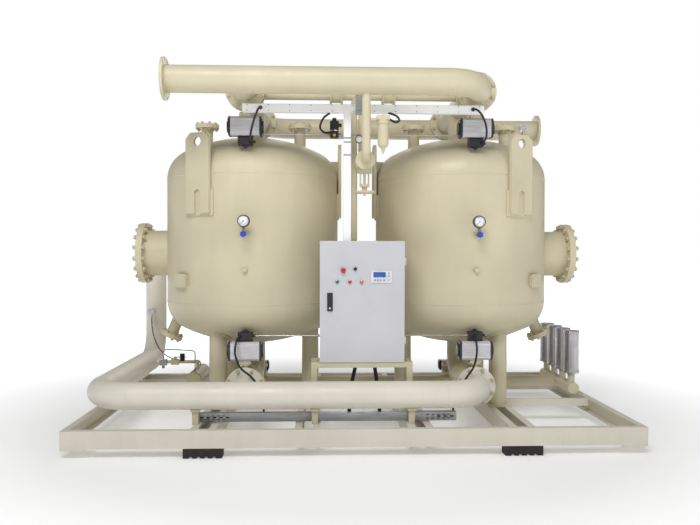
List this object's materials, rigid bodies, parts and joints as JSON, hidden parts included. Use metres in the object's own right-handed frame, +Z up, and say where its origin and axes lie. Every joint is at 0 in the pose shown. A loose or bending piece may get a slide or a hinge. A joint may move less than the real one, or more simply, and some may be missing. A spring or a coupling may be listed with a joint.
{
  "type": "desiccant air dryer",
  "caption": "Skid-mounted regenerative desiccant air dryer with domed towers, switching valves, pipe headers, silencers and a control cabinet.",
  "frame": {"origin": "on the ground under the centre of the skid", "axes": "+X along the skid to the right seen from the cabinet side, +Y to the rear, +Z up"},
  "size_m": [4.58, 2.7, 3.1369],
  "materials": {
    "skid_paint": "satin paint, slightly greyed",
    "cream_paint": "semi-gloss paint",
    "cabinet_paint": "fine textured powder coat",
    "rubber": "matt",
    "zinc_steel": "zinc plated",
    "stainless": "brushed",
    "desiccant": "matt beads",
    "actuator_alloy": "anodised",
    "dark_casting": "satin black",
    "black_plastic": "moulded",
    "grey_plastic": "moulded",
    "brass": "turned",
    "blue_plastic": "moulded",
    "red_plastic": "moulded",
    "green_plastic": "moulded",
    "yellow_plastic": "moulded",
    "white_plastic": "extruded",
    "galvanised": "galvanised sheet",
    "cable_rubber": "smooth sheath"
  },
  "bodies": {
    "base": {"skid_side_beams": "skid_paint", "skid_end_beams": "skid_paint", "skid_bearers": "skid_paint", "foot_pads": "rubber", "left_tower_shell": "cream_paint", "right_tower_shell": "cream_paint", "tower_legs": "cream_paint", "lifting_lugs": "cream_paint", "manhole_covers": "cream_paint", "port_covers": "cream_paint", "cover_bolts": "zinc_steel", "desiccant_beds": "desiccant", "bed_screens": "stainless", "top_tees": "cream_paint", "bottom_elbows": "cream_paint", "front_top_header": "cream_paint", "rear_top_header": "cream_paint", "lower_header": "cream_paint", "exhaust_line": "cream_paint", "silencers": "stainless", "valve_bodies": "cream_paint", "valve_studs": "zinc_steel", "actuator_bodies": "actuator_alloy", "actuator_end_caps": "dark_casting", "actuator_brackets": "cream_paint", "indicator_boxes": "black_plastic", "purge_line": "cream_paint", "globe_valve_body": "cream_paint", "air_filter": "cream_paint", "filter_bowl": "cream_paint", "control_air_tubes": "stainless", "pressure_gauges": "stainless", "gauge_cocks": "brass", "cable_trunking": "white_plastic", "cable_tray": "galvanised", "cabinet_stand": "cream_paint", "cabinet_body": "cabinet_paint", "control_gear": "grey_plastic", "drain_pot": "cream_paint", "temperature_sensor": "stainless", "sensor_cable": "cable_rubber"},
    "door": {"cabinet_door": "cabinet_paint", "panel_fittings": "grey_plastic"},
    "left_inlet_disc": {"left_inlet_disc": "stainless"},
    "right_inlet_disc": {"right_inlet_disc": "stainless"},
    "left_outlet_disc": {"left_outlet_disc": "stainless"},
    "right_outlet_disc": {"right_outlet_disc": "stainless"},
    "left_regen_disc": {"left_regen_disc": "stainless"},
    "right_regen_disc": {"right_regen_disc": "stainless"},
    "left_exhaust_disc": {"left_exhaust_disc": "stainless"},
    "right_exhaust_disc": {"right_exhaust_disc": "stainless"},
    "globe_handwheel": {"globe_handwheel": "cream_paint"},
    "left_cock_handle": {"left_cock_handle": "blue_plastic"},
    "right_cock_handle": {"right_cock_handle": "blue_plastic"},
    "drain_lever": {"drain_lever": "yellow_plastic"},
    "door_handle": {"door_handle": "black_plastic"},
    "estop_button": {"estop_button": "red_plastic"},
    "selector_knob": {"selector_knob": "black_plastic"},
    "start_button": {"start_button": "green_plastic"},
    "stop_button": {"stop_button": "red_plastic"}
  },
  "joints": [
    {"name": "left_inlet_turn", "type": "hinge", "parent": "base", "child": "left_inlet_disc", "pos_m": [-0.935, -0.751, 0.445], "axis": [0, 0, 1], "range_deg": [0, 90]},
    {"name": "right_inlet_turn", "type": "hinge", "parent": "base", "child": "right_inlet_disc", "pos_m": [1.035, -0.751, 0.445], "axis": [0, 0, 1], "range_deg": [0, 90]},
    {"name": "left_outlet_turn", "type": "hinge", "parent": "base", "child": "left_outlet_disc", "pos_m": [-0.935, -0.751, 2.96691], "axis": [0, 0, 1], "range_deg": [0, 90]},
    {"name": "right_outlet_turn", "type": "hinge", "parent": "base", "child": "right_outlet_disc", "pos_m": [1.035, -0.751, 2.96691], "axis": [0, 0, 1], "range_deg": [0, 90]},
    {"name": "left_regen_turn", "type": "hinge", "parent": "base", "child": "left_regen_disc", "pos_m": [-0.935, 0.751, 2.96691], "axis": [0, 0, 1], "range_deg": [0, 90]},
    {"name": "right_regen_turn", "type": "hinge", "parent": "base", "child": "right_regen_disc", "pos_m": [1.035, 0.751, 2.96691], "axis": [0, 0, 1], "range_deg": [0, 90]},
    {"name": "left_exhaust_turn", "type": "hinge", "parent": "base", "child": "left_exhaust_disc", "pos_m": [-0.935, 0.3, 0.432], "axis": [0, 1, 0], "range_deg": [0, 90]},
    {"name": "right_exhaust_turn", "type": "hinge", "parent": "base", "child": "right_exhaust_disc", "pos_m": [1.035, 0.3, 0.432], "axis": [0, 1, 0], "range_deg": [0, 90]},
    {"name": "handwheel_turn", "type": "hinge", "parent": "base", "child": "globe_handwheel", "pos_m": [0.07, -0.902, 2.35291], "axis": [0, 0, 1], "range_deg": [0, 720]},
    {"name": "left_cock_turn", "type": "hinge", "parent": "base", "child": "left_cock_handle", "pos_m": [-0.935, -0.938, 1.74296], "axis": [0, 1, 0], "range_deg": [0, 90]},
    {"name": "right_cock_turn", "type": "hinge", "parent": "base", "child": "right_cock_handle", "pos_m": [1.035, -0.938, 1.74296], "axis": [0, 1, 0], "range_deg": [0, 90]},
    {"name": "drain_turn", "type": "hinge", "parent": "base", "child": "drain_lever", "pos_m": [-1.82, 0.7, 0.491], "axis": [0, 0, 1], "range_deg": [0, 90]},
    {"name": "door_swing", "type": "hinge", "parent": "base", "child": "door", "pos_m": [0.405, -0.992, 1.187], "axis": [0, 0, 1], "range_deg": [0, 110]},
    {"name": "handle_turn", "type": "hinge", "parent": "door", "child": "door_handle", "pos_m": [-0.218, -1, 1.237], "axis": [0, -1, 0], "range_deg": [0, 90]},
    {"name": "estop_push", "type": "slide", "parent": "door", "child": "estop_button", "axis": [0, 1, 0], "range_m": [0, 0.003], "stiffness_N_per_m": 500},
    {"name": "selector_turn", "type": "hinge", "parent": "door", "child": "selector_knob", "pos_m": [-0.0108, -1, 1.456], "axis": [0, -1, 0], "range_deg": [-45, 45]},
    {"name": "start_push", "type": "slide", "parent": "door", "child": "start_button", "axis": [0, 1, 0], "range_m": [0, 0.003], "stiffness_N_per_m": 400},
    {"name": "stop_push", "type": "slide", "parent": "door", "child": "stop_button", "axis": [0, 1, 0], "range_m": [0, 0.003], "stiffness_N_per_m": 400}
  ]
}
